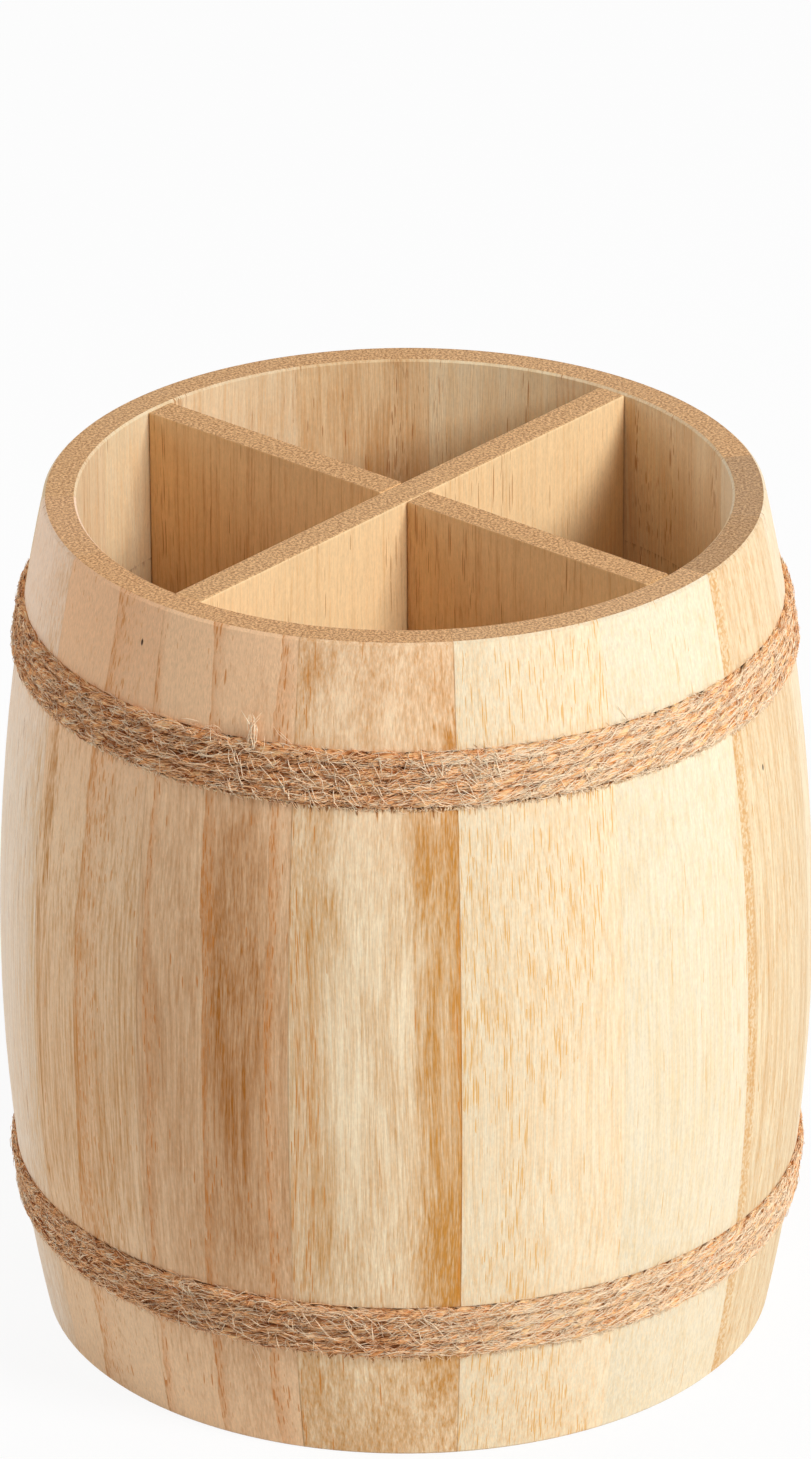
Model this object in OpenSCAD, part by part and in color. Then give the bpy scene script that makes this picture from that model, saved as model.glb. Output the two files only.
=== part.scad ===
// Barrel-shaped caddy: turned from glued staves, with a bottom disc, a cross of two lapped boards
// that parts the bore into four compartments, and two rope bands wound into turned grooves.
// The origin is the middle of the foot, +Z points up, and the boards lie along X and Y.

/* [Barrel] */
// Height of the barrel
barrel_h = 162; // [140:1:190]
// Outside diameter at the belly
belly_d = 150; // [144:1:170]
// Height of the belly's widest line above the foot
belly_z = 73; // [60:1:95]
// How far the side draws in from the belly to the mouth
mouth_draw = 9.5; // [6:0.5:14]
// How far the side draws in from the belly to the foot
foot_draw = 7.5; // [4:0.5:10]
// Thickness of the wall at the rim, above the straight bore
rim_wall = 6; // [4:0.5:12]
// Chamfer on the outer and inner edges of the staves' ends
edge_chamfer = 0.4; // [0.2:0.1:1]

/* [Staves] */
// Number of staves round the barrel
stave_count = 15; // [12:1:20]
// Plan angle of the seam where the first stave starts
seam_angle = 6; // [0:1:23]

/* [Bottom] */
// Thickness of the bottom disc
bottom_t = 9; // [6:0.5:14]
// Height of the bottom disc's underside above the foot
bottom_recess = 2; // [1:0.5:6]
// How far the rebate for the bottom disc goes into the staves
rebate_depth = 2; // [1:0.25:3]
// Gap between the bottom disc and the rebate's wall
bottom_fit = 0.1; // [0.05:0.05:0.3]

/* [Divider] */
// Thickness of the divider boards
board_t = 6; // [4:0.5:9]
// How far the boards' tops lie below the rim
board_drop = 0.2; // [0:0.1:5]
// Gap between a divider board and what it fits against
board_fit = 0.1; // [0.05:0.05:0.3]

/* [Rope bands] */
// Diameter of the rope
rope_d = 2.1; // [1.6:0.1:3]
// Gap between neighbouring turns of the rope
rope_gap = 0.45; // [0.42:0.01:0.8]
// Number of turns in a band
rope_turns = 4; // [2:1:6]
// Distance of the upper band's middle below the rim
upper_band_drop = 24.5; // [15:0.5:40]
// Height of the lower band's middle above the foot
lower_band_z = 28; // [18:0.5:45]
// Depth of the turned grooves that hold the rope
groove_depth = 1.5; // [0.8:0.1:2.5]
// Gap between the outermost turns and the groove's sides
groove_side = 0.3; // [0.1:0.05:0.6]
// Gap between the rope and the groove's floor
rope_seat = 0.05; // [0.02:0.01:0.2]
// Plan angle at which the rope starts
rope_start = 153; // [0:1:359]

/* [Hidden] */
// Fineness of the turned surfaces and of the barrel's long side arcs
turn_fn = 180;
arc_fn = 720;

// The rope's rings: how many make a turn, how many climb to the next turn, and a ring's sides
turn_steps = 24;
climb_steps = 3;
rope_sides = 6;
step_angle = 360 / turn_steps;

// Tones of the staves, repeated round the barrel
stave_tones = ["#DDBE92", "#C99B6B", "#E2C48F", "#EAD3A0", "#F2E4C2"];
board_tone = "#D6AC76";
bottom_tone = "#CBA170";
rope_tone = "#A57F58";

belly_r = belly_d / 2;
mouth_r = belly_r - mouth_draw;
foot_r = belly_r - foot_draw;
bore_r = mouth_r - rim_wall;
stave_angle = 360 / stave_count;

// Arcs of the barrel's side, both level at the belly and one to each end
upper_arc_r = arc_radius(mouth_draw, barrel_h - belly_z);
lower_arc_r = arc_radius(foot_draw, belly_z);

floor_z = bottom_recess + bottom_t;
rebate_r = bore_r + rebate_depth;

board_h = barrel_h - board_drop - floor_z;
board_len = 2 * (sqrt(pow(bore_r, 2) - pow(board_t / 2, 2)) - board_fit);
slot_w = board_t + 2 * board_fit;
lap_z = floor_z + board_h / 2;

upper_band_z = barrel_h - upper_band_drop;
rope_pitch = rope_d + rope_gap;
groove_h = (rope_turns - 1) * rope_pitch + rope_d + 2 * groove_side;
rope_steps = rope_turns * turn_steps - climb_steps;

function stave_name(i) = str("stave_", i < 10 ? "0" : "", i);

// Radius of an arc that leaves its tangent by rise over a length of run
function arc_radius(rise, run) = (pow(run, 2) + pow(rise, 2)) / (2 * rise);

// Radius of the barrel's side at height z
function side_r(z) =
    let (arc_r = z > belly_z ? upper_arc_r : lower_arc_r)
    belly_r - arc_r + sqrt(pow(arc_r, 2) - pow(z - belly_z, 2));

// Radius of a groove's straight, sloping floor at height z
function groove_r(band_z, z) =
    let (low_r = side_r(band_z - groove_h / 2))
    let (high_r = side_r(band_z + groove_h / 2))
    low_r + (high_r - low_r) * ((z - band_z) / groove_h + 0.5) - groove_depth;

// Turns done at ring i: a turn runs level and then climbs to the next over its last rings
function smooth(x) = x * x * (3 - 2 * x);
function climb(i) = smooth(max(0, i - (turn_steps - climb_steps)) / climb_steps);
function turns_done(i) = floor(i / turn_steps) + climb(i % turn_steps);

function rope_z(band_z, i) = band_z + (turns_done(i) - (rope_turns - 1) / 2) * rope_pitch;

// The straight runs between rings come nearest the floor at their middles
function rope_r(band_z, z) = (groove_r(band_z, z) + rope_seat + rope_d / 2) / cos(step_angle / 2);

function outward(angle) = [cos(angle), sin(angle), 0];
function along(angle) = [-sin(angle), cos(angle), 0];
function ring_angle(i) = rope_start + i * step_angle;

function rope_centre(band_z, i) =
    let (z = rope_z(band_z, i))
    rope_r(band_z, z) * outward(ring_angle(i)) + [0, 0, z];

// Ring centres from end to end, with a straight run of one rope diameter at both ends
function rope_centres(band_z) = concat(
    [rope_centre(band_z, 0) - rope_d * along(ring_angle(0))],
    [for (i = [0:rope_steps]) rope_centre(band_z, i)],
    [rope_centre(band_z, rope_steps) + rope_d * along(ring_angle(rope_steps))]
);
rope_angles = concat(
    [ring_angle(0)],
    [for (i = [0:rope_steps]) ring_angle(i)],
    [ring_angle(rope_steps)]
);

function rope_ring(centre, angle) = [
    for (k = [0:rope_sides - 1])
        let (turn = (k + 0.5) * 360 / rope_sides)
        centre + rope_d / 2 * (cos(turn) * outward(angle) + [0, 0, sin(turn)])
];

// Least distance between centres half a turn or more apart, less the rope's diameter
function least_gap(centres) = min([
    for (i = [0:len(centres) - 1], j = [i + turn_steps / 2 : 1 : len(centres) - 1])
        norm(centres[i] - centres[j])
]) - rope_d;

echo(upper_band_least_gap = least_gap(rope_centres(upper_band_z)));
echo(lower_band_least_gap = least_gap(rope_centres(lower_band_z)));

// One arc of the barrel's side down to the bore, from height low over a height of rise
module side_section(arc_r, low, rise) {
    intersection() {
        translate([belly_r - arc_r, belly_z]) circle(r = arc_r, $fn = arc_fn);
        translate([bore_r, low]) square([belly_r, rise]);
    }
}

module groove_section(band_z) {
    low = band_z - groove_h / 2;
    high = band_z + groove_h / 2;
    polygon([
        [groove_r(band_z, low), low],
        [belly_d, low],
        [belly_d, high],
        [groove_r(band_z, high), high]
    ]);
}

// Cut for a chamfer on the corner at [r, z], where the air lies towards out and up
module corner_cut(r, z, out, up) {
    translate([r, z]) polygon(edge_chamfer * [[-2 * out, up], [out, -2 * up], [out, up]]);
}

module barrel_section() {
    difference() {
        union() {
            side_section(upper_arc_r, belly_z, barrel_h - belly_z);
            side_section(lower_arc_r, 0, belly_z);
        }
        groove_section(upper_band_z);
        groove_section(lower_band_z);
        square([rebate_r, floor_z]);
        corner_cut(mouth_r, barrel_h, 1, 1);
        corner_cut(bore_r, barrel_h, -1, 1);
        corner_cut(foot_r, 0, 1, -1);
    }
}

module stave(i) {
    color(stave_tones[i % len(stave_tones)])
        rotate([0, 0, seam_angle + (i - 1) * stave_angle])
            rotate_extrude(angle = stave_angle, $fn = turn_fn) barrel_section();
}

module bottom_disc() {
    color(bottom_tone)
        translate([0, 0, bottom_recess])
            cylinder(r = rebate_r - bottom_fit, h = bottom_t, $fn = turn_fn);
}

// A board along X with its lap slot from slot_low up to slot_high
module divider_board(slot_low, slot_high) {
    color(board_tone)
        difference() {
            translate([-board_len / 2, -board_t / 2, floor_z]) cube([board_len, board_t, board_h]);
            translate([-slot_w / 2, -board_t, slot_low]) cube([slot_w, 2 * board_t, slot_high - slot_low]);
        }
}

module divider_board_top_slot() {
    divider_board(lap_z - board_fit / 2, barrel_h + board_t);
}

module divider_board_bottom_slot() {
    rotate([0, 0, 90]) divider_board(floor_z - board_t, lap_z + board_fit / 2);
}

// One unbroken tube through the rings of a band, closed at both ends
module rope_band(band_z) {
    centres = rope_centres(band_z);
    last = (len(centres) - 1) * rope_sides;
    color(rope_tone)
        polyhedron(
            points = [for (i = [0:len(centres) - 1]) each rope_ring(centres[i], rope_angles[i])],
            faces = concat(
                [for (i = [0:len(centres) - 2], k = [0:rope_sides - 1])
                    let (a = i * rope_sides + k)
                    let (b = i * rope_sides + (k + 1) % rope_sides)
                    each [[a, b, b + rope_sides], [a, b + rope_sides, a + rope_sides]]],
                [for (k = [1:rope_sides - 2]) [0, k + 1, k]],
                [for (k = [1:rope_sides - 2]) [last, last + k, last + k + 1]]
            )
        );
}

module rope_band_upper() {
    rope_band(upper_band_z);
}

module rope_band_lower() {
    rope_band(lower_band_z);
}

for (i = [1:stave_count])
    stave(i);
bottom_disc();
divider_board_top_slot();
divider_board_bottom_slot();
rope_band_upper();
rope_band_lower();
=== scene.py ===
import math
import random
from dataclasses import dataclass

import bpy
import numpy as np
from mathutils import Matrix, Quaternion, Vector


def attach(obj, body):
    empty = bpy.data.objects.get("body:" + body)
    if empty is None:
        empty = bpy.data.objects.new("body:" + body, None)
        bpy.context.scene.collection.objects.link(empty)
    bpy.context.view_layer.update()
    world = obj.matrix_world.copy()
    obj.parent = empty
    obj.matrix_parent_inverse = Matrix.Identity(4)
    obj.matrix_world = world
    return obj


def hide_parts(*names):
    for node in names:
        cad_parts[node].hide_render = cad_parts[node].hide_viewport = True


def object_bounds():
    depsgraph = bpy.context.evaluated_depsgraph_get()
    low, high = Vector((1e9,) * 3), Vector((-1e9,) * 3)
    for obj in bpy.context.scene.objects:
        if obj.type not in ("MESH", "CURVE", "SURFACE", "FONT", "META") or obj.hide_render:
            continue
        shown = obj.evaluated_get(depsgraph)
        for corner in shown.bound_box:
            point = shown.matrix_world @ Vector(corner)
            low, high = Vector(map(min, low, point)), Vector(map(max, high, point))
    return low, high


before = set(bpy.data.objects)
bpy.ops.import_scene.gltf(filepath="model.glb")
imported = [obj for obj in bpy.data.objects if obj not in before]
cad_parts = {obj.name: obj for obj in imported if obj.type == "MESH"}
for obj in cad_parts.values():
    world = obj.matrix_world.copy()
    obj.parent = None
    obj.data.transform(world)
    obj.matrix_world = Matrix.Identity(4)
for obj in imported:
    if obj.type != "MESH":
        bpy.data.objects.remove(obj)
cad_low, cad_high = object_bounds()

# Lengths are millimetres, and metres for the floor and the lamps
MM = 0.001

# The barrel's side and staves, repeated from the construction
BARREL_H = cad_high.z / MM
BELLY_R = cad_high.x / MM
BELLY_Z = 73.0
MOUTH_DRAW = 9.5
FOOT_DRAW = 7.5
STAVE_COUNT = 15
SEAM_ANGLE = 6.0
STAVE_ANGLE = 360 / STAVE_COUNT

# The grooves, and the radius beyond which a stave's wood belongs to its outer face
GROOVE_DEPTH = 1.5
GROOVE_H = 10.35
OUTER_FACE_R = BELLY_R - 11.0

# The rope bands: the heights of their middles, how far the rope lies above them, and its winding
BAND_ROPES = {"upper": BARREL_H - 24.5, "lower": 28.0}
ROPE_SLACK = {"upper": 0.1, "lower": -0.1}
ROPE_TURNS = 4
ROPE_PITCH = 2.48
ROPE_ROWS = [(turn - (ROPE_TURNS - 1) / 2) * ROPE_PITCH for turn in range(ROPE_TURNS)]
ROPE_R = 1.25
ROPE_START = 153.0
ROPE_CLIMB = 45.0
ROPE_STEP = 0.65
ROW_DIP = 0.2

# The rope's make: its plies, how full and how tall they lie, and the ridges of their yarns
ROPE_PLIES = 3
ROPE_LAY = 11.0
ROPE_TAPER = 4.0
ROPE_TIP = 0.3
PLY_FULLNESS = 1.28
PLY_TALLNESS = 1.08
PLY_SIDES = 10
RIDGES = 5
RIDGE_LAY = 14.0
RIDGE_DEPTH = 0.12

# Wanders along the rope, each by how far it swings and the lengths of its swings
WANDER_OUT = (0.16, (7.0, 13.0, 29.0))
WANDER_UP = (0.13, (9.0, 17.0, 41.0))
DRIFT_UP = (0.08, (97.0, 151.0))
TWIST_WANDER = (0.8, (19.0, 31.0))
SWELL_WANDER = (0.15, (3.1, 5.3, 11.0))
RIDGE_WANDER = (2.0, (5.0, 8.0))

# Factors that keep the lays of neighbouring yarns, plies and fibres apart
YARN_APART = 4.0
PLY_APART = 50.0
FIBRE_APART = 9.0

# The camera, fitted to the barrel's outline in the photograph
CAMERA_AZIMUTH = 40.5
CAMERA_ELEVATION = 25.517
CAMERA_ROLL = -0.282
CAMERA_DISTANCE = 1924.9
CAMERA_AIM_Z = 114.07
CAMERA_LENS = 259.28
CAMERA_SENSOR = 36.0
FRONT_ANGLE = CAMERA_AZIMUTH - 90

# Painted light on the rope: the side where the key lamp falls and its fibres glint is painted paler; its
# direction, and where it begins and is full, as shares of the belly's radius
PAINTED_LIGHT_ANGLE = FRONT_ANGLE + 42.0
PAINTED_LIGHT_EDGE = (0.66, 0.92)

# Tones of the marks that all wood takes, and the groove tone, which is painted shade
END_GRAIN_DARK = "#94602C"
END_GRAIN_PALE = "#EAB880"
SEAM_TONE = "#8A5A2C"
# Painted shade: dark brown laid into the turned grooves, where shade falls beside the rope
GROOVE_SHADE_TONE = "#8E5420"
SPECK_TONE = "#3A2010"
WARM_TONE = "#FFDDC6"

# Sizes of these marks: distances from a seam, half width and half length of a speck, and heights
SEAM_EDGE = (-0.28, -0.08)
BORDER_EDGE = (3.4, 2.4)
SPECK_SIZE = (0.3, 0.75)
WARM_HEIGHTS = (BARREL_H - 50.0, BARREL_H - 10.0)
NOTCH_TAPER = 0.12

# Depth of the bumps and level of the gloss
WOOD_DEPTH = 0.06
WOOD_GLOSS = 0.15
PLY_BUMPS = 0.14
FIBRE_BUMPS = 0.02
SPLINTER_BUMPS = 0.03
FIBRE_GLOSS = 0.1

# The boards' rounded edges, the torn teeth, and the floor's and the world's light
BOARD_ROUNDING = 0.35
SPLINTER_COUNT = 1000
FLOOR_HALF = 4.0
FLOOR_GREY = 0.9
FLOOR_GLOW = 0.9
WORLD_LIGHT = 0.29

# Seeds: of all that is drawn, of the boards' and the bottom's wood, and the step between woods
SEED = 4711
BOARD_SEED = 31
BOTTOM_SEED = 33
WOOD_STEP = 311.0

# Where a mix node keeps its two colours and their mixture, among sockets of the same names
MIX_FIRST = 6
MIX_SECOND = 7
MIX_RESULT = 2

# Keeps what lies across the grain and drops what lies along it
ACROSS_ONLY = (1.0, 1.0, 0.0)


def tone(text):
    """A hex colour as the linear red, green, blue and alpha that shaders take."""
    parts = [int(text[i : i + 2], 16) / 255 for i in (1, 3, 5)]
    linear = [p / 12.92 if p <= 0.04045 else ((p + 0.055) / 1.055) ** 2.4 for p in parts]
    return (*linear, 1.0)


class Graph:
    """A material's nodes: each call takes sockets or plain numbers and gives a socket."""

    def __init__(self, name):
        self.material = bpy.data.materials.new(name)
        self.material.use_nodes = True
        self.tree = self.material.node_tree
        self.tree.nodes.clear()
        self.shader = self.add("ShaderNodeBsdfPrincipled")
        output = self.add("ShaderNodeOutputMaterial")
        self.join(self.shader.outputs["BSDF"], output.inputs["Surface"])

    def add(self, kind, **settings):
        node = self.tree.nodes.new(kind)
        for name, value in settings.items():
            setattr(node, name, value)
        return node

    def join(self, source, socket):
        if isinstance(source, bpy.types.NodeSocket):
            self.tree.links.new(source, socket)
        else:
            socket.default_value = source

    def math(self, operation, *values, clamp=False):
        node = self.add("ShaderNodeMath", operation=operation, use_clamp=clamp)
        for value, socket in zip(values, node.inputs):
            self.join(value, socket)
        return node.outputs[0]

    def plus(self, first, second, clamp=False):
        return self.math("ADD", first, second, clamp=clamp)

    def minus(self, first, second, clamp=False):
        return self.math("SUBTRACT", first, second, clamp=clamp)

    def times(self, first, second):
        return self.math("MULTIPLY", first, second)

    def vector(self, operation, *values):
        node = self.add("ShaderNodeVectorMath", operation=operation)
        for value, socket in zip(values, node.inputs):
            self.join(value, socket)
        return node.outputs["Value" if operation == "LENGTH" else "Vector"]

    def coords(self, output):
        """Where a point lies, or how it faces, in the object's own directions."""
        return self.add("ShaderNodeTexCoord").outputs[output]

    def lay(self):
        """The vector that the mesh's points carry to be coloured by."""
        return self.add("ShaderNodeAttribute", attribute_name="lay").outputs["Vector"]

    def turned(self, vector, rotation, scale=1.0):
        node = self.add("ShaderNodeMapping")
        self.join(vector, node.inputs["Vector"])
        node.inputs["Rotation"].default_value = rotation
        node.inputs["Scale"].default_value = (scale, scale, scale)
        return node.outputs["Vector"]

    def split(self, vector):
        node = self.add("ShaderNodeSeparateXYZ")
        self.join(vector, node.inputs[0])
        return node.outputs[:3]

    def pair(self, first, second):
        """A vector of two numbers."""
        node = self.add("ShaderNodeCombineXYZ")
        self.join(first, node.inputs[0])
        self.join(second, node.inputs[1])
        return node.outputs[0]

    def noise(self, vector, stretch, detail=2.0, roughness=0.5, output="Fac"):
        """Noise from 0 to 1, whose grain per millimetre along x, y and z is stretch."""
        node = self.add("ShaderNodeTexNoise")
        self.join(self.vector("MULTIPLY", vector, stretch), node.inputs["Vector"])
        node.inputs["Scale"].default_value = 1.0
        node.inputs["Detail"].default_value = detail
        node.inputs["Roughness"].default_value = roughness
        return node.outputs[output]

    def streaks(self, vector, stretch, detail=2.0):
        """Noise like that, drawn out until it fills the range from 0 to 1."""
        return self.range(self.noise(vector, stretch, detail, roughness=0.55), 0.3, 0.7)

    def swing(self, value, amount):
        """A value from 0 to 1 as a swing of amount to both sides of 0."""
        return self.times(self.minus(value, 0.5), 2 * amount)

    def sway(self, vector, span):
        """A vector from 0 to 1 as a shift within span, to both sides of 0."""
        return self.vector("MULTIPLY", self.vector("SUBTRACT", vector, (0.5, 0.5, 0.5)), span)

    def range(self, value, low, high, to_low=0.0, to_high=1.0, smooth=False):
        kind = "SMOOTHSTEP" if smooth else "LINEAR"
        node = self.add("ShaderNodeMapRange", interpolation_type=kind, clamp=True)
        names = ("Value", "From Min", "From Max", "To Min", "To Max")
        for name, number in zip(names, (value, low, high, to_low, to_high)):
            self.join(number, node.inputs[name])
        return node.outputs[0]

    def ramp(self, value, stops):
        """The grey of a ramp through stops, which are pairs of place and grey."""
        node = self.add("ShaderNodeValToRGB")
        elements = node.color_ramp.elements
        while len(elements) < len(stops):
            elements.new(0.5)
        for element, (place, grey) in zip(elements, stops):
            element.position = place
            element.color = (grey, grey, grey, 1.0)
        self.join(value, node.inputs[0])
        return node.outputs["Color"]

    def mix(self, share, first, second, blend="MIX"):
        node = self.add("ShaderNodeMix", data_type="RGBA", blend_type=blend, clamp_factor=True)
        self.join(share, node.inputs["Factor"])
        self.join(first, node.inputs[MIX_FIRST])
        self.join(second, node.inputs[MIX_SECOND])
        return node.outputs[MIX_RESULT]

    def dashes(self, vector, width, length, chance):
        """Pores: slim cells across y and along z of that size, of which the share chance shows."""
        _, across, along = self.split(vector)
        cell = self.pair(self.math("DIVIDE", across, width), self.math("DIVIDE", along, length))
        node = self.add("ShaderNodeTexVoronoi", voronoi_dimensions="2D")
        self.join(cell, node.inputs["Vector"])
        node.inputs["Scale"].default_value = 1.0
        picked, size, _ = self.split(node.outputs["Color"])
        shown = self.math("LESS_THAN", picked, chance)
        reach = self.range(size, 0.0, 1.0, to_low=0.21, to_high=0.42)
        near = self.minus(1.0, self.math("DIVIDE", node.outputs["Distance"], reach), clamp=True)
        return self.times(self.range(near, 0.0, 0.3), shown)

    def blot(self, vector, across, along, half_width, half_length):
        """Distance from a blot's middle across y and along z, 1 at its edge."""
        off = self.vector("SUBTRACT", vector, (0.0, across, along))
        return self.vector("LENGTH", self.vector("MULTIPLY", off, (0.0, 1 / half_width, 1 / half_length)))

    def finish(self, colour, roughness, gloss, height, depth):
        """Joins colour, roughness, gloss and a height, in depth millimetres, to the shader."""
        self.join(colour, self.shader.inputs["Base Color"])
        self.join(roughness, self.shader.inputs["Roughness"])
        self.shader.inputs["Specular IOR Level"].default_value = gloss
        bump = self.add("ShaderNodeBump")
        bump.inputs["Strength"].default_value = 1.0
        bump.inputs["Distance"].default_value = depth * MM
        self.join(height, bump.inputs["Height"])
        self.join(bump.outputs["Normal"], self.shader.inputs["Normal"])
        return self.material


@dataclass
class WoodLook:
    """How one piece of wood was cut from its log, and what shows of it.

    pale and deep are the colours between which the wood lies, and pore is its pores'.
    pith is where the log's middle lies from the piece's own middle, and tilt how far the log leans
    from the piece's height. A year's ring begins at the radius edge, ring is its width, and fray how
    raggedly it runs. tones gives the share of the deep colour through the width of a ring.
    pore_lines is how many lines of pores a ring has, pores how densely they stand where one begins,
    pore_span the share of the ring over which they thin out, strays the density everywhere else, and
    pore_size the width and length of a pore's cell. early is how much paler the wood is among them,
    and tint how much of their colour it takes there.
    streaks, figure and flecks are how strongly its streaks, its broad patches and its short pale
    flecks show. fade is how much paler it is towards its ends, partly the wood's own change
    along the stave and partly painted light, for the light that its upward-leaning top catches; warm
    is how much yellower it is towards the mouth. A speck has its place across and along the face, and
    a stain that and its half width, half length and strength.
    seam is how dark a stave's seams are, border how strongly specks line its left seam, and rim how
    bright its end grain is. notch_shading is how strongly the ragged notches under a turned groove
    are darkened as painted shade, the shade that lies in them, and notch_shade_tone is the colour
    of that painted shade.
    """

    pale: str
    deep: str
    pore: str = "#B0713A"
    pith: tuple = (0.0, -60.0)
    tilt: tuple = (0.0, 0.0)
    edge: float = 59.0
    ring: float = 13.0
    fray: float = 1.2
    tones: tuple = ((0.0, 0.45), (0.5, 0.3), (1.0, 0.45))
    pore_lines: int = 1
    pore_size: tuple = (0.36, 8.0)
    pores: float = 0.6
    pore_span: float = 0.3
    strays: float = 0.015
    early: float = 0.1
    tint: float = 0.0
    streaks: float = 0.25
    figure: float = 0.1
    flecks: float = 0.12
    fade: float = 0.1
    warm: float = 0.0
    specks: tuple = ()
    stains: tuple = ()
    seam: float = 0.2
    border: float = 0.0
    rim: float = 1.0
    notch_shading: float = 0.4
    notch_shade_tone: str = "#8A5526"


class Wood(Graph):
    """Solid wood: turned by rotation, its face looks along x and its grain runs along z.

    middle is the piece's own middle there, in millimetres. Its colour is laid on step by step.
    """

    def __init__(self, name, look, seed, middle, rotation):
        super().__init__(name)
        self.look = look
        self.middle = middle
        self.place = self.turned(self.coords("Object"), rotation, 1 / MM)
        self.x, self.y, self.z = self.split(self.place)
        facing = self.split(self.turned(self.coords("Normal"), rotation))[2]
        self.end = self.range(self.math("ABSOLUTE", facing), 0.75, 0.95)

        # The grain wanders, and each piece takes it from another stretch of the noise
        grain = self.vector("ADD", self.place, (0.0, 0.0, WOOD_STEP * seed))
        bends = self.noise(grain, (0.03, 0.03, 0.014), detail=1.0, output="Color")
        self.wander = self.sway(bends, (4.0, 4.0, 0.0))
        self.grain = self.vector("ADD", grain, self.wander)

        self.long = self.streaks(self.grain, (1.6, 1.6, 0.012), detail=3.0)
        self.brush = self.streaks(self.grain, (2.8, 2.8, 0.1))
        self.fine = self.streaks(self.grain, (5.0, 5.0, 0.25), detail=1.0)

        # Early wood, where a ring begins, is crowded with pores
        self.rings = self.year_rings()
        pore_part = self.math("FRACT", self.times(self.rings, look.pore_lines))
        early = self.range(pore_part, look.pore_span * look.pore_lines, 0.0)
        self.early = self.math("POWER", early, 1.7)
        self.pores = self.times(self.drawn_pores(), self.minus(1.0, self.end))
        self.colour = self.mix(self.deep_share(), tone(look.pale), tone(look.deep))

    def paint(self, share, colour):
        """Lays a colour over the wood's by this share."""
        self.colour = self.mix(share, self.colour, colour)

    def year_rings(self):
        """Distance from the pith in years' rings."""
        tilt_x, tilt_y = self.look.tilt
        pith_x, pith_y = self.look.pith
        pith = (self.middle[0] + pith_x, self.middle[1] + pith_y, self.middle[2])
        log = self.turned(self.vector("SUBTRACT", self.place, pith), (tilt_y, -tilt_x, 0.0))
        log = self.vector("MULTIPLY", self.vector("ADD", log, self.wander), ACROSS_ONLY)
        fray = self.streaks(self.grain, (0.25, 0.25, 0.02), detail=3.0)
        radius = self.plus(self.vector("LENGTH", log), self.swing(fray, self.look.fray))
        return self.math("DIVIDE", self.minus(radius, self.look.edge), self.look.ring)

    def drawn_pores(self):
        """Pores drawn out along the grain, whose lines come and go."""
        come = self.noise(self.grain, (0.9, 0.9, 0.02), detail=1.0)
        crowd = self.range(self.early, 0.0, 1.0, self.look.strays, self.look.pores)
        crowd = self.times(crowd, self.range(come, 0.35, 0.65, 0.3, 1.3))
        width, length = self.look.pore_size
        coarse = self.dashes(self.grain, width, length, crowd)
        shifted = self.vector("ADD", self.grain, (0.0, 17.0, 5.0))
        small = self.dashes(shifted, 0.65 * width, 0.5 * length, self.times(crowd, 0.7))
        return self.math("MAXIMUM", self.times(coarse, 0.8), self.times(small, 0.5))

    def stain(self, ends):
        """How strongly the look's stains show, which end as raggedly as the fibres."""
        ragged = self.vector("ADD", self.place, self.sway(ends, (0.0, 4.0, 44.0)))
        stain = 0.0
        for *where_and_size, strength in self.look.stains:
            off = self.blot(ragged, *where_and_size)
            stain = self.math("MAXIMUM", stain, self.range(off, 1.0, 0.5, to_high=strength, smooth=True))
        return stain

    def deep_share(self):
        """The share of the deep colour, by rings, streaks, stains, figure and flecks."""
        look = self.look
        share = self.ramp(self.math("FRACT", self.rings), look.tones)
        share = self.minus(share, self.times(self.early, look.early))
        for field, amount in ((self.long, 0.9), (self.brush, 0.45), (self.fine, 0.6)):
            share = self.plus(share, self.swing(field, amount * look.streaks))
        ends = self.noise(self.grain, (1.5, 1.5, 0.03), output="Color")
        share = self.plus(share, self.stain(ends))
        # Paler towards the ends: partly the wood's own change, partly painted light for the light that the
        # upward-leaning top catches
        far = self.math("DIVIDE", self.minus(self.z, self.middle[2]), BARREL_H / 2)
        share = self.minus(share, self.times(self.math("POWER", far, 2.0), look.fade))
        drawn_out = self.vector("ADD", self.grain, self.vector("MULTIPLY", ends, (0.0, 0.0, 26.0)))
        figure = self.streaks(drawn_out, (0.2, 0.2, 0.05))
        share = self.plus(share, self.swing(figure, look.figure), clamp=True)
        shifted = self.vector("ADD", self.grain, (0.0, 31.0, 9.0))
        fleck = self.range(self.noise(shifted, (3.0, 3.0, 0.36), detail=1.0), 0.48, 0.66)
        return self.minus(share, self.times(fleck, look.flecks))

    def shade(self):
        """Tints the early wood, and lightens and darkens all of it by its finest texture."""
        if self.look.tint:
            self.paint(self.times(self.early, self.look.tint), tone(self.look.pore))
        grit = self.streaks(self.place, (2.2, 2.2, 1.1), detail=3.0)
        light = self.plus(self.swing(self.fine, 0.07), self.swing(self.brush, 0.04))
        light = self.plus(light, self.swing(grit, 0.06))
        self.colour = self.mix(1.0, self.colour, self.plus(1.0, light), "MULTIPLY")
        if self.look.warm:
            near_mouth = self.range(self.z, *WARM_HEIGHTS, to_high=self.look.warm)
            self.paint(near_mouth, self.mix(1.0, self.colour, tone(WARM_TONE), "MULTIPLY"))

    def cut_ends(self):
        """End grain is darker and speckled."""
        rim = self.look.rim
        speckle = self.range(self.noise(self.place, (2.0, 2.0, 0.5), roughness=0.7), 0.38, 0.62)
        cut = self.mix(speckle, tone(END_GRAIN_DARK), tone(END_GRAIN_PALE))
        cut = self.mix(1.0, cut, (rim, rim, rim, 1.0), "MULTIPLY")
        self.paint(self.times(self.end, 0.9), cut)

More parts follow.
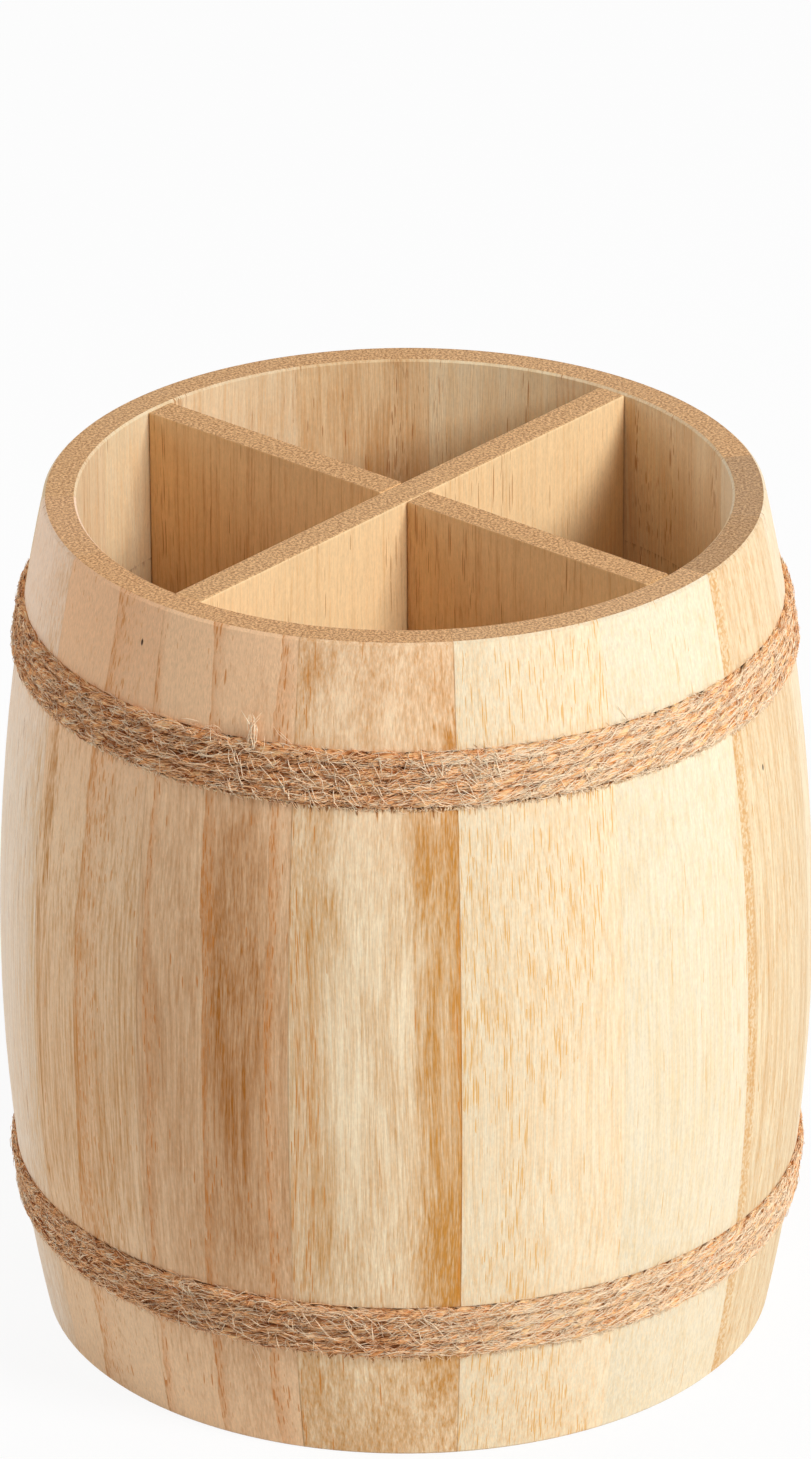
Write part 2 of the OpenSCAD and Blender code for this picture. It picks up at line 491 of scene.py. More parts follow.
    def mark_seams(self, half_angle):
        """A thin dark line where two staves meet, and specks along the left one."""
        inward = self.times(self.x, math.sin(half_angle))
        side = self.minus(self.times(self.math("ABSOLUTE", self.y), math.cos(half_angle)), inward)
        seam = self.times(self.range(side, *SEAM_EDGE), self.look.seam)
        worn = self.range(self.noise(self.grain, (0.3, 0.3, 0.05)), 0.35, 0.65, 0.1, 1.0)
        self.paint(self.times(seam, worn), tone(SEAM_TONE))
        if self.look.border:
            inset = self.plus(self.times(self.y, math.cos(half_angle)), inward)
            specks = self.noise(self.place, (1.7, 1.7, 1.3), detail=1.0)
            specks = self.range(specks, 0.42, 0.6, 0.15, 1.0)
            specks = self.times(specks, self.minus(1.0, self.end))
            border = self.range(inset, *BORDER_EDGE, to_high=self.look.border)
            self.paint(self.times(border, specks), tone(self.look.pore))

    def mark_grooves(self):
        """Wood in the turned grooves is painted dark brown as painted shade, and under them ragged notches
        torn into the wood are painted dark as the shade that lies in them.
        """
        outer = self.vector("LENGTH", self.vector("MULTIPLY", self.place, ACROSS_ONLY))
        outer = self.math("GREATER_THAN", outer, OUTER_FACE_R)
        fibres = self.noise(self.grain, (1.7, 1.7, 0.05), roughness=0.6)
        for band_z in BAND_ROPES.values():
            above = self.math("GREATER_THAN", self.z, band_z - GROOVE_H / 2)
            below = self.math("LESS_THAN", self.z, band_z + GROOVE_H / 2)
            groove_shade = self.times(self.times(above, below), outer)
            # Painted shade: the groove's wood is darkened to brown where shade falls beside the rope
            self.paint(self.times(groove_shade, 0.85), tone(GROOVE_SHADE_TONE))
            down = self.minus(band_z - GROOVE_H / 2, self.z)
            # Painted shade: the ragged notches under the groove are darkened as the shade that lies in them
            notch = self.range(self.minus(fibres, self.times(down, NOTCH_TAPER)), 0.46, 0.52)
            notch = self.times(notch, self.math("GREATER_THAN", down, 0.0))
            self.paint(self.times(notch, self.look.notch_shading), tone(self.look.notch_shade_tone))

    def mark_specks(self):
        """Small dark flaws of the wood."""
        for across, along in self.look.specks:
            off = self.blot(self.place, across, along, *SPECK_SIZE)
            self.paint(self.range(off, 1.0, 0.6), tone(SPECK_TONE))

    def finished(self):
        roughness = self.range(self.fine, 0.0, 1.0, 0.5, 0.66)
        height = self.plus(self.times(self.fine, 0.3), self.times(self.brush, 0.4))
        height = self.minus(height, self.times(self.pores, 0.15))
        return self.finish(self.colour, roughness, WOOD_GLOSS, height, WOOD_DEPTH)


def wood(name, look, seed, middle=(0.0, 0.0, 0.0), rotation=(0.0, 0.0, 0.0), half_angle=None):
    """The material of one piece of wood, where half_angle is half a stave's wedge."""
    g = Wood(name, look, seed, middle, rotation)
    g.shade()
    g.paint(g.pores, tone(look.pore))
    g.cut_ends()
    if half_angle:
        g.mark_seams(half_angle)
        g.mark_grooves()
    g.mark_specks()
    return g.finished()


# Staves that the photograph shows, from its left edge to its right, each by its own look
SEEN_STAVES = {
    10: WoodLook(
        "#FBE6CE", "#DFB583",
        edge=45.0, ring=40.0, pores=0.15, pore_span=0.2, streaks=0.4, warm=0.35, seam=0.05,
        tones=((0.0, 0.08), (0.4, 0.12), (0.77, 0.65), (1.0, 0.75)),
    ),
    11: WoodLook(
        "#F4D0A8", "#C0843F", "#D48A42",
        tilt=(0.0, 0.03), edge=59.0, ring=26.0,
        tones=((0.0, 0.75), (0.03, 0.55), (0.07, 0.36), (0.5, 0.27), (1.0, 0.3)),
        pore_size=(0.5, 3.6), pores=0.95, pore_span=0.38, strays=0.02, tint=0.3,
        streaks=0.4, figure=0.15, fade=0.54, warm=0.5,
        specks=((9.8, 154.5),),
        stains=(
            (-12.0, 118.0, 2.0, 20.0, 0.6),
            (-14.0, 70.0, 1.0, 44.0, 0.4),
            (4.0, 50.0, 14.0, 30.0, 0.16),
        ),
    ),
    12: WoodLook(
        "#F8D2A8", "#AC681C", "#CE7E30",
        edge=58.5, ring=37.5,
        tones=((0.0, 0.7), (0.03, 0.64), (0.2, 0.6), (0.35, 0.54), (0.5, 0.48), (0.6, 0.43), (1.0, 0.45)),
        pore_lines=3, pore_size=(0.48, 4.4), pores=0.95, pore_span=0.08, early=0.16, tint=0.45,
        streaks=0.2, figure=0.12, fade=0.62, warm=0.25, seam=0.3,
        stains=((5.5, 98.0, 8.0, 52.0, 0.18),),
    ),
    13: WoodLook(
        "#FFEAC6", "#C68A3E", "#D4862C",
        edge=44.5, ring=31.0, fray=2.0,
        tones=((0.0, 0.52), (0.18, 0.5), (0.3, 0.34), (0.8, 0.34), (1.0, 0.4)),
        pore_size=(0.42, 9.0), pores=0.95, pore_span=0.26, tint=0.2,
        streaks=0.24, figure=0.2, flecks=0.14, fade=0.0, warm=0.4, seam=0.6, notch_shading=0.9, notch_shade_tone="#9A6028",
        stains=(
            (14.0, 120.0, 10.5, 36.0, 0.45),
            (15.5, 82.0, 9.5, 76.0, 0.48),
            (14.5, 34.0, 10.0, 44.0, 0.46),
            (-9.0, 46.0, 6.0, 18.0, 0.06),
            (-10.0, 114.0, 5.0, 12.0, 0.09),
            (0.0, 6.0, 30.0, 26.0, 0.2),
        ),
    ),
    14: WoodLook(
        "#F3E2C2", "#DFB47C", "#E0A448",
        pith=(-23.9, -4.9), tilt=(0.06, 0.0), edge=24.9, ring=-30.0,
        tones=((0.0, 0.45), (0.5, 0.4), (1.0, 0.3)),
        pore_size=(0.34, 8.0), pores=0.6, pore_span=0.9,
        streaks=0.3, seam=0.08, notch_shading=0.5, notch_shade_tone="#B87A3C",
    ),
    15: WoodLook(
        "#EADCC0", "#DBBD8A", "#DDB57A",
        pith=(-40.0, 30.0), edge=40.0, ring=40.0, tones=((0.0, 0.26), (1.0, 0.26)),
        pores=0.12, streaks=0.34, seam=0.05, notch_shading=0.3, notch_shade_tone="#D09A5C",
    ),
    1: WoodLook(
        "#E9D6B2", "#C48C46", "#CC8E3A",
        edge=44.0, ring=9.0, fray=0.4,
        tones=(
            (0.0, 0.3), (0.13, 0.2), (0.25, 0.42), (0.4, 0.22),
            (0.5, 0.36), (0.63, 0.2), (0.75, 0.46), (1.0, 0.3),
        ),
        pore_size=(0.36, 4.0), pores=0.3, early=0.0, warm=0.2,
        specks=((-5.6, 121.8),),
        seam=0.1, border=0.6, rim=0.72, notch_shade_tone="#B87A3C",
    ),
    2: WoodLook(
        "#EFDDBE", "#D6B486",
        tones=((0.0, 0.3), (1.0, 0.3)), pores=0.2, streaks=0.3, seam=0.05, rim=0.72,
    ),
}

# Pale and deep colours of the other staves
HIDDEN_TONES = (
    ("#EFD7B2", "#CF9F66"),
    ("#E7C69E", "#BE8C58"),
    ("#F0DCB8", "#DDB680"),
    ("#EBCDA2", "#C0843F"),
)


def hidden_stave(seed):
    """A stave of the same wood that the photograph doesn't show, cut any way from its log."""
    draw = random.Random(SEED + seed)
    pale, deep = draw.choice(HIDDEN_TONES)
    return WoodLook(
        pale, deep,
        pith=(draw.uniform(-30.0, 10.0), draw.choice((-1, 1)) * draw.uniform(15.0, 60.0)),
        tilt=(draw.uniform(-0.05, 0.05), 0.0),
        edge=draw.uniform(20.0, 60.0),
        ring=draw.uniform(11.0, 28.0),
        fray=draw.uniform(1.0, 3.0),
        pore_size=(0.38, draw.uniform(3.0, 12.0)),
        pores=draw.uniform(0.3, 0.9),
        streaks=draw.uniform(0.18, 0.3),
        figure=draw.uniform(0.05, 0.3),
    )


def dress(node, material):
    """Gives a CAD node its material."""
    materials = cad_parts[node].data.materials
    materials.clear()
    materials.append(material)


def dress_staves():
    for i in range(1, STAVE_COUNT + 1):
        look = SEEN_STAVES.get(i) or hidden_stave(i)
        middle_angle = math.radians(SEAM_ANGLE + (i - 0.5) * STAVE_ANGLE)
        material = wood(
            f"stave_wood_{i:02d}", look, i,
            middle=(BELLY_R, 0.0, BELLY_Z),
            rotation=(0.0, 0.0, -middle_angle),
            half_angle=math.radians(STAVE_ANGLE / 2),
        )
        dress(f"stave_{i:02d}", material)


def soften(node, width):
    """Rounds a CAD node's edges by a modifier, width in millimetres."""
    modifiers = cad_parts[node].modifiers
    modifiers.new("joined", "WELD").merge_threshold = 0.001 * MM
    bevel = modifiers.new("rounded", "BEVEL")
    bevel.width = width * MM
    bevel.segments = 2
    bevel.limit_method = "ANGLE"


def dress_inside():
    board = dict(pith=(-90.0, 12.0), edge=60.0, ring=11.0, pores=0.3, pore_size=(0.4, 11.0))
    # Painted shade and light: the top-slot board, whose face lies in shade, takes a deeper colour and the
    # bottom-slot board, whose face the key lamp lights, a paler one, though both are the same wood
    boards = {
        "divider_board_top_slot": (WoodLook("#EFC48E", "#B47438", streaks=0.45, **board), math.pi / 2),
        "divider_board_bottom_slot": (WoodLook("#F6D6A6", "#CE9856", streaks=0.3, **board), 0.0),
    }
    for n, (node, (look, turn)) in enumerate(boards.items()):
        dress(node, wood(f"board_wood_{n + 1}", look, BOARD_SEED + n, rotation=(0.0, 0.0, turn)))
        soften(node, BOARD_ROUNDING)
    bottom = WoodLook("#E3C096", "#BE9160", pith=(-60.0, 0.0), edge=50.0, ring=9.0)
    dress("bottom_disc", wood("bottom_wood", bottom, BOTTOM_SEED, rotation=(0.0, math.pi / 2, 0.0)))


def side_r(z):
    """Radius of the barrel's side at height z."""
    z = np.asarray(z, float)
    run = np.where(z > BELLY_Z, BARREL_H - BELLY_Z, BELLY_Z)
    rise = np.where(z > BELLY_Z, MOUTH_DRAW, FOOT_DRAW)
    arc_r = (run**2 + rise**2) / (2 * rise)
    return BELLY_R - arc_r + np.sqrt(arc_r**2 - (z - BELLY_Z) ** 2)


def groove_r(band_z, z):
    """Radius of a groove's straight, sloping floor at height z."""
    low = side_r(band_z - GROOVE_H / 2)
    high = side_r(band_z + GROOVE_H / 2)
    return low + (high - low) * ((z - band_z) / GROOVE_H + 0.5) - GROOVE_DEPTH


def outward(angle):
    return np.stack([np.cos(angle), np.sin(angle), np.zeros_like(angle)], -1)


def around(radius, angle, z):
    """Points from their radius, plan angle and height."""
    return np.stack([radius * np.cos(angle), radius * np.sin(angle), z], -1)


def unit(vectors):
    return vectors / np.maximum(np.linalg.norm(vectors, axis=-1, keepdims=True), 1e-9)


def spread(draw, count, low, high):
    """A column of count numbers, drawn evenly between low and high."""
    return draw.uniform(low, high, (count, 1))


def wave(draw, x, amount, lengths):
    """A seeded, smooth wander of amount about 0 along x, of swings of these lengths."""
    swings = sum(np.sin(2 * np.pi * (x / n + draw.random())) for n in lengths)
    return amount * (swings / len(lengths))


def lay_values(shape, *numbers):
    """The lay of points in this shape, from its three numbers."""
    return np.stack([np.broadcast_to(number, shape) for number in numbers], -1)


def unwrap(mesh, count, rings, sides):
    """Lays the tubes' segments side by side in rows, each with its sides above each other."""
    segments = count * (rings - 1)
    columns = math.ceil(math.sqrt(segments * sides))
    rows = math.ceil(segments / columns)
    segment = np.arange(segments).repeat(sides)
    side = np.tile(np.arange(sides), segments)
    left = segment % columns
    right = left + 1
    low = segment // columns + side / sides
    high = low + 1 / sides
    quads = np.stack([left, low, right, low, right, high, left, high], -1).reshape(-1, 4, 2)
    caps = np.zeros((2 * count * sides, 2))
    places = np.concatenate([quads.reshape(-1, 2), caps]) / (columns, rows)
    mesh.uv_layers.new(name="OFBake").data.foreach_set("uv", places.astype(np.float32).ravel())


def tubes(name, paths, radii, sides, aside, lay):
    """One mesh of closed tubes along paths, which share their number of points.

    radii holds one radius a point, or one for each side there. aside gives each point a direction
    that isn't along its path, and lay a vector to colour it by.
    """
    count, rings = paths.shape[:2]
    along = unit(np.gradient(paths, axis=1))
    first = unit(np.cross(along, aside))
    second = np.cross(first, along)
    turn = 2 * np.pi * np.arange(sides) / sides
    ring = first[:, :, None] * np.cos(turn)[:, None] + second[:, :, None] * np.sin(turn)[:, None]
    points = paths[:, :, None] + radii.reshape(count, rings, -1, 1) * ring
    index = np.arange(count * rings * sides).reshape(count, rings, sides)
    onward = np.roll(index, -1, axis=2)
    quads = np.stack([index[:, :-1], index[:, 1:], onward[:, 1:], onward[:, :-1]], -1).reshape(-1, 4)
    caps = np.concatenate([index[:, 0], index[:, -1, ::-1]])
    mesh = bpy.data.meshes.new(name)
    mesh.from_pydata((points.reshape(-1, 3) * MM).tolist(), [], quads.tolist() + caps.tolist())
    mesh.shade_smooth()
    unwrap(mesh, count, rings, sides)
    values = np.broadcast_to(lay.reshape(count, rings, -1, 3), points.shape).astype(np.float32)
    mesh.attributes.new("lay", "FLOAT_VECTOR", "POINT").data.foreach_set("vector", values.ravel())
    piece = bpy.data.objects.new(name, mesh)
    bpy.context.scene.collection.objects.link(piece)
    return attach(piece, "root")


def rope_course(band_z, slack):
    """Angle, radius and height along the rope's middle: turns run level, then climb to the next."""
    turns = ROPE_TURNS - ROPE_CLIMB / 360
    length = turns * 2 * math.pi * float(groove_r(band_z, band_z))
    done = np.linspace(0.0, turns, int(length / ROPE_STEP))
    climb = np.clip((done % 1 - 1) * 360 / ROPE_CLIMB + 1, 0, 1)
    row = np.floor(done) + climb**2 * (3 - 2 * climb)
    angle = np.radians(ROPE_START) + 2 * np.pi * done
    z = band_z + slack + (row - (ROPE_TURNS - 1) / 2) * ROPE_PITCH
    return angle, groove_r(band_z, z) + ROPE_R, z


def twisted_rope(name, band_z, slack, seed):
    """Plies laid round each other along the band's winding, each a bundle of ridged yarns."""
    draw = np.random.default_rng(seed)
    reach = ROPE_R * (1 - 1 / (1 + 2 / math.sqrt(ROPE_PLIES)))
    ply_r = PLY_FULLNESS * (ROPE_R - reach)
    angle, radius, z = rope_course(band_z, slack)
    steps = np.hypot(np.diff(angle) * radius[1:], np.diff(z))
    run = np.concatenate([[0.0], np.cumsum(steps)])
    radius = radius + wave(draw, run, *WANDER_OUT)
    z = z + wave(draw, run, *WANDER_UP) + wave(draw, run, *DRIFT_UP)
    ends = np.clip(np.minimum(run, run[-1] - run) / ROPE_TAPER, ROPE_TIP, 1.0)
    side = np.arange(PLY_SIDES) / PLY_SIDES + run[:, None] / RIDGE_LAY
    paths = []
    radii = []
    lays = []
    for k in range(ROPE_PLIES):
        turn = 2 * np.pi * (run / ROPE_LAY + k / ROPE_PLIES) + wave(draw, run, *TWIST_WANDER)
        out = reach * ends * np.cos(turn)
        up = PLY_TALLNESS * reach * ends * np.sin(turn)
        paths.append(around(radius + out, angle, z + up))
        swell = ply_r * ends * (1 + wave(draw, run, *SWELL_WANDER))
        ridge = np.cos(2 * np.pi * RIDGES * side + wave(draw, run, *RIDGE_WANDER)[:, None])
        radii.append(swell[:, None] * (1 + RIDGE_DEPTH * ridge))
        lays.append(lay_values(side.shape, run[:, None], YARN_APART * side, PLY_APART * k))
    aside = np.broadcast_to(outward(angle), (ROPE_PLIES, len(angle), 3))
    return tubes(name, np.array(paths), np.array(radii), PLY_SIDES, aside, np.array(lays))


def band_skin(band_z, slack, z):
    """Radius of what lies open at height z: the rope's rows, or the wood beside the groove."""
    rows = (z - band_z - slack) / ROPE_PITCH + (ROPE_TURNS - 1) / 2
    off = (rows - np.clip(np.round(rows), 0, ROPE_TURNS - 1)) * ROPE_PITCH
    flank = np.sqrt(np.maximum(ROPE_R**2 - off**2, ROW_DIP))
    rope = groove_r(band_z, z) + ROPE_R + flank
    return np.where(np.abs(off) < ROPE_R, rope, side_r(z))


@dataclass
class Fuzz:
    """Fibres on a band, each pair of numbers a range, or a middle and a spread for the slant.

    heights are from the band's middle, length along the fibre, thick its radius, slant its angle
    above the rope's rows in degrees, lift how far it stands off, pale how pale it is, and aside
    where round the band it lies, in degrees to the right of the camera's side.
    """

    count: int
    heights: tuple
    length: tuple
    thick: tuple
    slant: tuple
    lift: tuple
    pale: tuple
    aside: tuple = (-180.0, 180.0)


# Fibres that lie along each row of the rope, and those that stand off it
LAID_REACH = 0.95
LAID_FIBRES = tuple(
    Fuzz(
        2150, (row - LAID_REACH, row + LAID_REACH), (2.0, 6.0), (0.07, 0.17),
        (13.0, 12.0), (0.0, 0.3), (0.05, 0.95),
    )
    for row in ROPE_ROWS
)
LOOSE_FIBRES = (
    Fuzz(2600, (-4.8, 4.8), (1.2, 3.6), (0.05, 0.09), (5.0, 45.0), (0.05, 0.55), (0.2, 1.0)),
    Fuzz(380, (-4.5, 4.5), (2.5, 5.5), (0.06, 0.1), (-55.0, 28.0), (0.1, 0.7), (0.8, 1.0)),
    Fuzz(900, (4.4, 5.3), (1.5, 4.5), (0.06, 0.1), (0.0, 16.0), (0.0, 0.4), (0.2, 1.0)),
    Fuzz(1000, (-5.5, -4.5), (1.0, 2.8), (0.05, 0.1), (-40.0, 40.0), (0.0, 0.4), (0.3, 1.0)),
)

# Fibres that stand out singly or in tufts where the photograph shows them
TUFTS = {
    "upper": (
        Fuzz(16, (6.4, 7.8), (4.0, 7.5), (0.13, 0.2), (86.0, 8.0), (0.3, 0.9), (0.95, 1.0), (-23.4, -22.2)),
        Fuzz(2, (6.2, 6.8), (4.0, 5.0), (0.07, 0.1), (-38.0, 5.0), (0.2, 0.5), (0.9, 1.0), (-19.5, -17.5)),
        Fuzz(8, (5.2, 6.2), (2.0, 4.0), (0.06, 0.1), (20.0, 30.0), (0.2, 0.6), (0.8, 1.0), (-38.0, -28.0)),
        Fuzz(1, (6.6, 7.0), (4.4, 4.8), (0.07, 0.08), (-60.0, 3.0), (0.1, 0.2), (0.2, 0.3), (33.5, 34.5)),
        Fuzz(
            95, (-4.0, 4.0), (2.5, 5.5), (0.09, 0.14), (-58.0, 18.0), (0.2, 0.8), (0.95, 1.0),
            aside=(-27.0, 14.0),
        ),
    ),
    "lower": (
        Fuzz(2, (-8.5, -7.8), (6.0, 7.0), (0.07, 0.09), (-72.0, 4.0), (0.1, 0.4), (0.9, 1.0), (-23.0, -22.0)),
        Fuzz(9, (3.6, 4.8), (2.0, 3.5), (0.08, 0.12), (20.0, 40.0), (0.2, 0.7), (0.9, 1.0), (-11.5, -7.5)),
        Fuzz(9, (4.0, 5.5), (2.0, 4.0), (0.06, 0.1), (0.0, 50.0), (0.2, 0.7), (0.7, 1.0), (36.0, 41.0)),
        Fuzz(70, (-4.0, 4.0), (2.5, 5.5), (0.09, 0.14), (-40.0, 32.0), (0.2, 0.8), (0.95, 1.0), (-36.0, 8.0)),
    ),
}

# A fibre's tube: points along it, sides, how far it curls, its gap to the rope and its least radius
FIBRE_POINTS = 4
FIBRE_SIDES = 3
FIBRE_CURL = 0.16
FIBRE_GAP = 0.02
FIBRE_LEAST_R = 0.012


def rope_fibres(name, kinds, band_z, slack, seed):
    """Fibres of these kinds on a band, each thickest near its middle and curled a little."""
    draw = np.random.default_rng(seed)
    share = np.linspace(0.0, 1.0, FIBRE_POINTS)
    middle = share - 0.5
    taper = 1 - 0.75 * np.abs(2 * share - 0.9)
    paths = []
    radii = []
    lays = []
    for fuzz in kinds:
        n = fuzz.count
        start = np.radians(FRONT_ANGLE + spread(draw, n, *fuzz.aside))
        length = spread(draw, n, *fuzz.length)
        slant = np.radians(draw.normal(*fuzz.slant, (n, 1)))
        bend = spread(draw, n, -FIBRE_CURL, FIBRE_CURL) * length
        curl = bend * np.cos(2 * np.pi * middle * spread(draw, n, 0.3, 1.0))
        run = middle * length * np.cos(slant) - curl * np.sin(slant)
        z = band_z + slack + spread(draw, n, *fuzz.heights)
        z = z + middle * length * np.sin(slant) + curl * np.cos(slant)
        rise = np.sin(np.pi * share * spread(draw, n, 0.3, 1.0) + spread(draw, n, 0.0, 0.6))
        radius = band_skin(band_z, slack, z)
        radius = np.maximum(radius, (radius[:, :1] + radius[:, -1:]) / 2)
        radius = radius + spread(draw, n, *fuzz.lift) * np.maximum(rise, 0.0) + FIBRE_GAP
        paths.append(around(radius, start + run / radius, z))
        radii.append(spread(draw, n, *fuzz.thick) * taper)
        pale = spread(draw, n, *fuzz.pale)
        lays.append(lay_values(z.shape, share * length, FIBRE_APART * start, pale))
    paths = np.concatenate(paths)
    radii = np.maximum(np.concatenate(radii), FIBRE_LEAST_R)
    aside = np.broadcast_to(unit(draw.normal(size=(len(paths), 1, 3))), paths.shape)
    return tubes(name, paths, radii, FIBRE_SIDES, aside, np.concatenate(lays))


def rope_painted_light(g, most):
    """Painted light: how much paler the rope is painted, by most on the side where the key lamp falls and its
    fibres glint.
    """
    lit_side = math.radians(PAINTED_LIGHT_ANGLE)
    towards = (math.cos(lit_side) / (BELLY_R * MM), math.sin(lit_side) / (BELLY_R * MM), 0.0)
    x, y, _ = g.split(g.vector("MULTIPLY", g.coords("Object"), towards))
    return g.range(g.plus(x, y), *PAINTED_LIGHT_EDGE, to_high=most, smooth=True)


def jute_plies(name):
    """Jute, whose fibres run along the first number of the mesh's lay."""
    g = Graph(name)
    place = g.vector("MULTIPLY", g.coords("Object"), (1 / MM, 1 / MM, 1 / MM))
    strand = g.streaks(g.lay(), (0.3, 5.0, 1.0), detail=3.0)
    patch = g.streaks(place, (0.22, 0.22, 0.22))
    share = g.plus(strand, g.swing(patch, 0.15))
    # Painted light: the plies are painted paler on the side where the key lamp falls
    share = g.plus(share, rope_painted_light(g, 0.2))
    colour = g.mix(g.range(share, 0.15, 0.45), tone("#7A3A14"), tone("#EC9E60"))
    colour = g.mix(g.range(share, 0.45, 0.8), colour, tone("#FFD8A2"))
    roughness = g.range(strand, 0.0, 1.0, 0.55, 0.8)
    return g.finish(colour, roughness, FIBRE_GLOSS, strand, PLY_BUMPS)


def shared_tone(g, lay):
    """A tone that neighbouring fibres share, in strands that climb along the rope."""
    climb = 0.22
    along = g.times(g.split(lay)[1], BELLY_R / FIBRE_APART)
    up = g.times(g.split(g.coords("Object"))[2], 1 / MM)
    twist = g.pair(along, g.minus(up, g.times(along, climb)))
    return g.swing(g.streaks(twist, (0.45, 1.5, 1.0)), 0.4)


def by_pale(name, tones, bump, painted_light_most=0.0):
    """Fibres whose tone follows the third number of their lay, from dark to pale.

    Those on a rope also share the tone of their strand, and are painted paler, by up to the given amount, as
    painted light on the side where the key lamp falls.
    """
    g = Graph(name)
    lay = g.lay()
    strand = g.streaks(lay, (1.5, 1.0, 40.0))
    share = g.plus(g.split(lay)[2], g.swing(strand, 0.15))
    if painted_light_most:
        share = g.plus(share, shared_tone(g, lay))
        # Painted light on the side of the rope where the key lamp falls
        share = g.plus(share, rope_painted_light(g, painted_light_most))
    dark, mid, pale = map(tone, tones)
    colour = g.mix(g.range(share, 0.0, 0.34), dark, mid)
    colour = g.mix(g.range(share, 0.35, 0.9), colour, pale)
    roughness = g.range(strand, 0.0, 1.0, 0.5, 0.75)
    return g.finish(colour, roughness, FIBRE_GLOSS, strand, bump)


def make_bands():
    rope_look = jute_plies("jute_plies")
    # Painted light: these fibres are painted paler on the side where the key lamp falls
    fibre_look = by_pale("jute_fibres", ("#924A1C", "#FFC58B", "#FFE8C8"), FIBRE_BUMPS, painted_light_most=0.5)
    for n, (band, band_z) in enumerate(BAND_ROPES.items()):
        slack = ROPE_SLACK[band]
        rope = twisted_rope(f"rope_{band}", band_z, slack, SEED + n)
        rope.data.materials.append(rope_look)
        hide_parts(f"rope_band_{band}")
        states = {"laid": LAID_FIBRES, "loose": LOOSE_FIBRES + TUFTS[band]}
        for m, (state, kinds) in enumerate(states.items()):
            seed = SEED + 10 * (m + 1) + n
            fibres = rope_fibres(f"rope_{band}_{state}_fibres", kinds, band_z, slack, seed)
            fibres.data.materials.append(fibre_look)


def make_splinters():
    """Teeth of wood that the turning tore up along the lower edge of the upper groove."""
    draw = np.random.default_rng(SEED + 50)
    n = SPLINTER_COUNT
    edge_z = BAND_ROPES["upper"] - GROOVE_H / 2
    root = 0.6
    angle = spread(draw, n, 0.0, 2 * np.pi)
    tall = spread(draw, n, 0.35, 1.0) ** 2 * 1.1
    tall = tall * (0.65 + wave(draw, angle, 0.35, (0.9, 0.41, 0.17)))
    share = np.array([0.0, 0.45, 1.0])
    z = edge_z - root + share * (root + tall)
    radius = side_r(edge_z) - 0.15 + share * spread(draw, n, 0.3, 0.9)
    lean = spread(draw, n, -0.35, 0.35) * tall * share
    paths = around(radius, angle + lean / radius, z)
    radii = spread(draw, n, 0.12, 0.24) * np.array([1.0, 0.8, 0.12])
    lay = lay_values(z.shape, share * 2.0, FIBRE_APART * angle, spread(draw, n, 0.2, 1.0))
    aside = np.broadcast_to(outward(angle), paths.shape)
    splinters = tubes("groove_splinters", paths, radii, 4, aside, lay)
    look = by_pale("splinter_wood", ("#CF9A5C", "#EFCF9F", "#FAE8CA"), SPLINTER_BUMPS)
    splinters.data.materials.append(look)


def seen_rays(tree):
    """A socket that is 1 for the rays by which the background shows, and 0 for those that light."""
    path = tree.nodes.new("ShaderNodeLightPath")
    shown = path.outputs["Is Camera Ray"]
    for name in ("Is Glossy Ray", "Is Transmission Ray"):
        either = tree.nodes.new("ShaderNodeMath")
        either.operation = "MAXIMUM"
        tree.links.new(shown, either.inputs[0])
        tree.links.new(path.outputs[name], either.inputs[1])
        shown = either.outputs[0]
    return shown


def mix_shaders(tree, share, first, second, output):
    """Joins two shaders to a new output node, the second by this share."""
    mix = tree.nodes.new("ShaderNodeMixShader")
    for source, socket in zip((share, first, second), mix.inputs):
        tree.links.new(source, socket)
    tree.links.new(mix.outputs[0], tree.nodes.new(output).inputs["Surface"])


def make_world(light):
    """White where the background shows, and an even light of strength light elsewhere."""
    world = bpy.data.worlds.new("studio")
    bpy.context.scene.world = world
    world.use_nodes = True
    tree = world.node_tree
    tree.nodes.clear()
    backgrounds = []
    for strength in (light, 1.0):
        background = tree.nodes.new("ShaderNodeBackground")
        background.inputs["Strength"].default_value = strength
        background.inputs["Color"].default_value = (1.0, 1.0, 1.0, 1.0)
        backgrounds.append(background.outputs[0])
    mix_shaders(tree, seen_rays(tree), *backgrounds, "ShaderNodeOutputWorld")


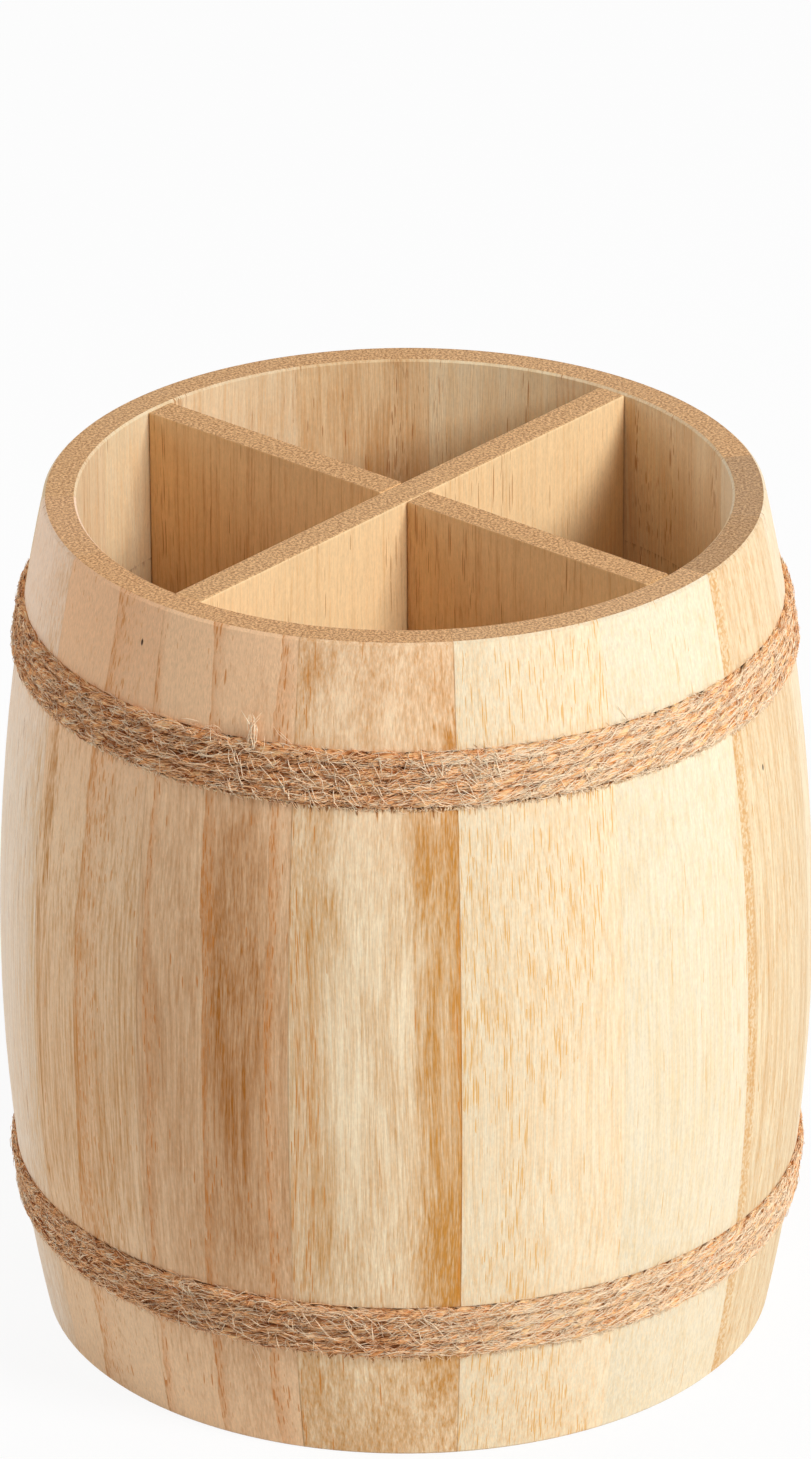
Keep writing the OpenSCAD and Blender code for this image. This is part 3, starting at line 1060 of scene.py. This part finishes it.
def make_floor():
    """A white floor that keeps a pale shadow of the object."""
    signs = ((-1, -1), (1, -1), (1, 1), (-1, 1))
    corners = [(x * FLOOR_HALF, y * FLOOR_HALF, 0.0) for x, y in signs]
    mesh = bpy.data.meshes.new("floor")
    mesh.from_pydata(corners, [], [(0, 1, 2, 3)])
    floor = bpy.data.objects.new("floor", mesh)
    bpy.context.scene.collection.objects.link(floor)
    material = bpy.data.materials.new("floor_white")
    material.use_nodes = True
    tree = material.node_tree
    tree.nodes.clear()
    diffuse = tree.nodes.new("ShaderNodeBsdfDiffuse")
    diffuse.inputs["Color"].default_value = (FLOOR_GREY, FLOOR_GREY, FLOOR_GREY, 1.0)
    glow = tree.nodes.new("ShaderNodeEmission")
    glow.inputs["Strength"].default_value = 1.0
    share = tree.nodes.new("ShaderNodeMath")
    share.operation = "MULTIPLY"
    share.inputs[1].default_value = FLOOR_GLOW
    tree.links.new(seen_rays(tree), share.inputs[0])
    shaders = (diffuse.outputs[0], glow.outputs[0])
    mix_shaders(tree, share.outputs[0], *shaders, "ShaderNodeOutputMaterial")
    mesh.materials.append(material)


def direction(azimuth, elevation):
    """A unit vector towards a view, whose azimuth is 0 in front, along -Y, and grows to the right."""
    a = math.radians(azimuth)
    e = math.radians(elevation)
    return Vector((math.sin(a) * math.cos(e), -math.cos(a) * math.cos(e), math.sin(e)))


def hold(name, data, stand, location, roll=0.0):
    """Holds a lamp or the camera at a location, from where it looks back along stand."""
    holder = bpy.data.objects.new(name, data)
    holder.location = location
    holder.rotation_mode = "QUATERNION"
    level = (-stand).to_track_quat("-Z", "Y")
    holder.rotation_quaternion = level @ Quaternion((0, 0, 1), math.radians(roll))
    bpy.context.scene.collection.objects.link(holder)
    return holder


def make_lamp(name, aside, elevation, distance, size, power):
    """A square soft lamp, that far aside of the camera's azimuth, aimed at the barrel's middle."""
    lamp = bpy.data.lights.new(name, "AREA")
    lamp.size = size
    lamp.energy = power
    stand = direction(CAMERA_AZIMUTH + aside, elevation)
    hold(name, lamp, stand, stand * distance + Vector((0, 0, BARREL_H / 2 * MM)))


def make_camera():
    camera = bpy.data.cameras.new("camera")
    camera.lens = CAMERA_LENS
    camera.sensor_width = CAMERA_SENSOR
    stand = direction(CAMERA_AZIMUTH, CAMERA_ELEVATION)
    location = stand * CAMERA_DISTANCE * MM + Vector((0, 0, CAMERA_AIM_Z * MM))
    bpy.context.scene.camera = hold("camera", camera, stand, location, CAMERA_ROLL)


bpy.context.scene.view_settings.view_transform = "Standard"
make_camera()
dress_staves()
dress_inside()
make_bands()
make_splinters()
make_floor()
make_world(WORLD_LIGHT)
make_lamp("key", aside=55.0, elevation=33.0, distance=1.6, size=0.5, power=20.2)
make_lamp("fill", aside=-105.0, elevation=30.0, distance=1.8, size=1.2, power=10.0)
make_lamp("back", aside=165.0, elevation=35.0, distance=1.8, size=1.2, power=6.0)
